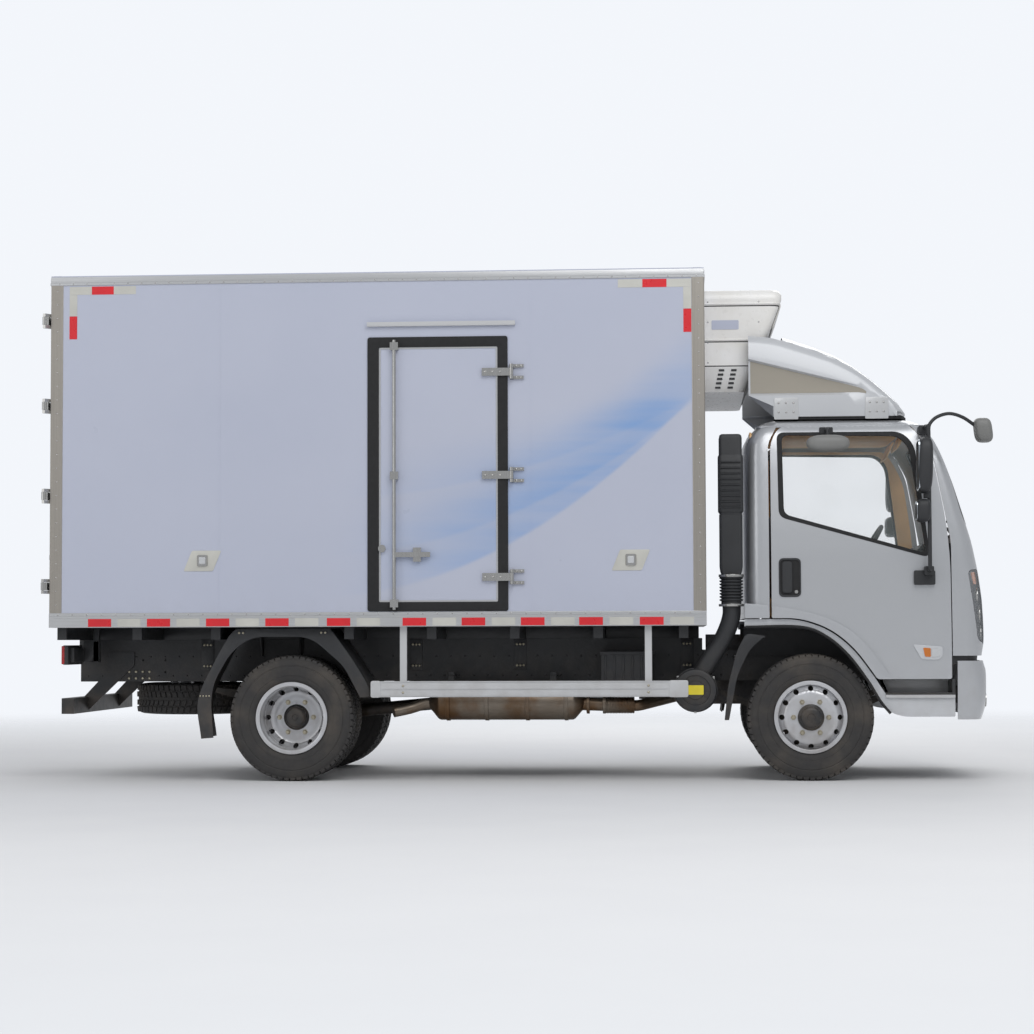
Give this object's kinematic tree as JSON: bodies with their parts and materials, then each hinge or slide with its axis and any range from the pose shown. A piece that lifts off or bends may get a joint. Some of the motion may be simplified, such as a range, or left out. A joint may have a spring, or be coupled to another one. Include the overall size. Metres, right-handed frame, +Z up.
{
  "type": "refrigerated truck",
  "caption": "Light cab-over truck with an insulated box body, a refrigeration unit over the cab, twin rear wheels, a side door, rear doors and a tilting cab.",
  "frame": {"origin": "on the ground, at the middle of the whole length and width", "axes": "+X forward, +Y to the truck's left, +Z up"},
  "size_m": [6.063, 2.46, 3.2519],
  "materials": {
    "chassis_black": "satin black frame paint",
    "axle_iron": "painted cast and forged iron",
    "engine_metal": "rough casting",
    "exhaust_steel": "heat-stained stainless steel",
    "black_plastic": "moulded black plastic with a fine grain",
    "guard_grey": "light grey enamel",
    "lamp_red": "red lamp lens in a black housing",
    "lamp_clear": "clear lamp lens",
    "tank_alloy": "plain rolled alloy",
    "tyre_rubber": "road tyre",
    "rim_silver": "silver painted steel",
    "box_alloy": "extruded alloy rails",
    "box_panel": "smooth pale composite panel",
    "stainless": "polished stainless steel",
    "unit_ivory": "ivory moulded cover",
    "cab_silver": "metallic silver paint",
    "fairing_silver": "light metallic silver paint",
    "cabin_dark": "dark grained cabin plastic",
    "seat_fabric": "woven seat cloth",
    "window_glass": "clear window glass"
  },
  "bodies": {
    "chassis": {"ladder_frame": "chassis_black", "box_sills": "chassis_black", "box_bearers": "chassis_black", "front_axle": "axle_iron", "rear_axle": "axle_iron", "leaf_springs": "axle_iron", "driveline": "engine_metal", "exhaust_system": "exhaust_steel", "air_intake": "black_plastic", "side_guards": "guard_grey", "rear_underrun_guard": "chassis_black", "tail_lamps": "lamp_red", "mudguards": "black_plastic", "fuel_tank": "tank_alloy", "battery_box": "black_plastic", "spare_wheel": "tyre_rubber", "box_floor": "box_alloy", "box_roof": "box_panel", "box_wall_left": "box_panel", "box_wall_right": "box_panel", "box_front_wall": "box_panel", "rear_door_frame": "stainless", "reefer_unit": "unit_ivory"},
    "cab": {"cab_roof": "cab_silver", "cab_back": "cab_silver", "cab_front": "cab_silver", "cab_floor": "cabin_dark", "headlamps": "lamp_clear", "windshield": "window_glass", "seats": "seat_fabric", "dashboard": "cabin_dark", "front_bumper": "cab_silver", "arch_steps": "cab_silver", "roof_fairing": "fairing_silver"},
    "cab_door_left_body": {"cab_door_left": "cab_silver", "door_glass_left": "window_glass", "mirrors_left": "black_plastic"},
    "cab_door_right_body": {"cab_door_right": "cab_silver", "door_glass_right": "window_glass", "mirrors_right": "black_plastic"},
    "side_door_body": {"side_door": "box_panel", "side_door_lock_gear": "stainless"},
    "rear_door_left_body": {"rear_door_left": "box_panel", "rear_lock_gear_left": "stainless"},
    "rear_door_right_body": {"rear_door_right": "box_panel", "rear_lock_gear_right": "stainless"},
    "knuckle_left_body": {"knuckle_left": "axle_iron"},
    "knuckle_right_body": {"knuckle_right": "axle_iron"},
    "tie_rod_body": {"tie_rod": "axle_iron"},
    "front_wheel_left": {"front_tyre_left": "tyre_rubber", "front_rim_left": "rim_silver"},
    "front_wheel_right": {"front_tyre_right": "tyre_rubber", "front_rim_right": "rim_silver"},
    "rear_wheels_left": {"rear_tyres_left": "tyre_rubber", "rear_rims_left": "rim_silver"},
    "rear_wheels_right": {"rear_tyres_right": "tyre_rubber", "rear_rims_right": "rim_silver"}
  },
  "joints": [
    {"name": "steer_left", "type": "hinge", "parent": "chassis", "child": "knuckle_left_body", "pos_m": [1.8765, 0.7, 0.402], "axis": [0, 0, 1], "range_deg": [-35, 35]},
    {"name": "steer_right", "type": "hinge", "parent": "chassis", "child": "knuckle_right_body", "pos_m": [1.8765, -0.7, 0.402], "axis": [0, 0, 1], "range_deg": [-35, 35]},
    {"name": "tie_rod_swing", "type": "hinge", "parent": "knuckle_left_body", "child": "tie_rod_body", "pos_m": [1.6965, 0.7, 0.318], "axis": [0, 0, 1], "range_deg": [-35, 35]},
    {"name": "front_left_spin", "type": "hinge", "parent": "knuckle_left_body", "child": "front_wheel_left", "pos_m": [1.8765, 0.84, 0.402], "axis": [0, 1, 0], "continuous": true},
    {"name": "front_right_spin", "type": "hinge", "parent": "knuckle_right_body", "child": "front_wheel_right", "pos_m": [1.8765, -0.84, 0.402], "axis": [0, 1, 0], "continuous": true},
    {"name": "rear_left_spin", "type": "hinge", "parent": "chassis", "child": "rear_wheels_left", "pos_m": [-1.4315, 0.795, 0.402], "axis": [0, 1, 0], "continuous": true},
    {"name": "rear_right_spin", "type": "hinge", "parent": "chassis", "child": "rear_wheels_right", "pos_m": [-1.4315, -0.795, 0.402], "axis": [0, 1, 0], "continuous": true},
    {"name": "cab_tilt", "type": "hinge", "parent": "chassis", "child": "cab", "pos_m": [2.6965, 0, 0.7], "axis": [0, 1, 0], "range_deg": [0, 45]},
    {"name": "cab_door_left_swing", "type": "hinge", "parent": "cab", "child": "cab_door_left_body", "pos_m": [2.7645, 0.985, 1.3], "axis": [0, 0, -1], "range_deg": [0, 70]},
    {"name": "cab_door_right_swing", "type": "hinge", "parent": "cab", "child": "cab_door_right_body", "pos_m": [2.7645, -0.985, 1.3], "axis": [0, 0, 1], "range_deg": [0, 70]},
    {"name": "side_door_swing", "type": "hinge", "parent": "chassis", "child": "side_door_body", "pos_m": [-0.0025, -1.155, 1.943], "axis": [0, 0, 1], "range_deg": [0, 170]},
    {"name": "rear_door_left_swing", "type": "hinge", "parent": "chassis", "child": "rear_door_left_body", "pos_m": [-3.0165, 1.15, 2], "axis": [0, 0, -1], "range_deg": [0, 265]},
    {"name": "rear_door_right_swing", "type": "hinge", "parent": "chassis", "child": "rear_door_right_body", "pos_m": [-3.0165, -1.15, 2], "axis": [0, 0, 1], "range_deg": [0, 265]}
  ],
  "couplings": [
    {"joint": "steer_right", "follows": "steer_left", "ratio": 1},
    {"joint": "tie_rod_swing", "follows": "steer_left", "ratio": -1}
  ]
}
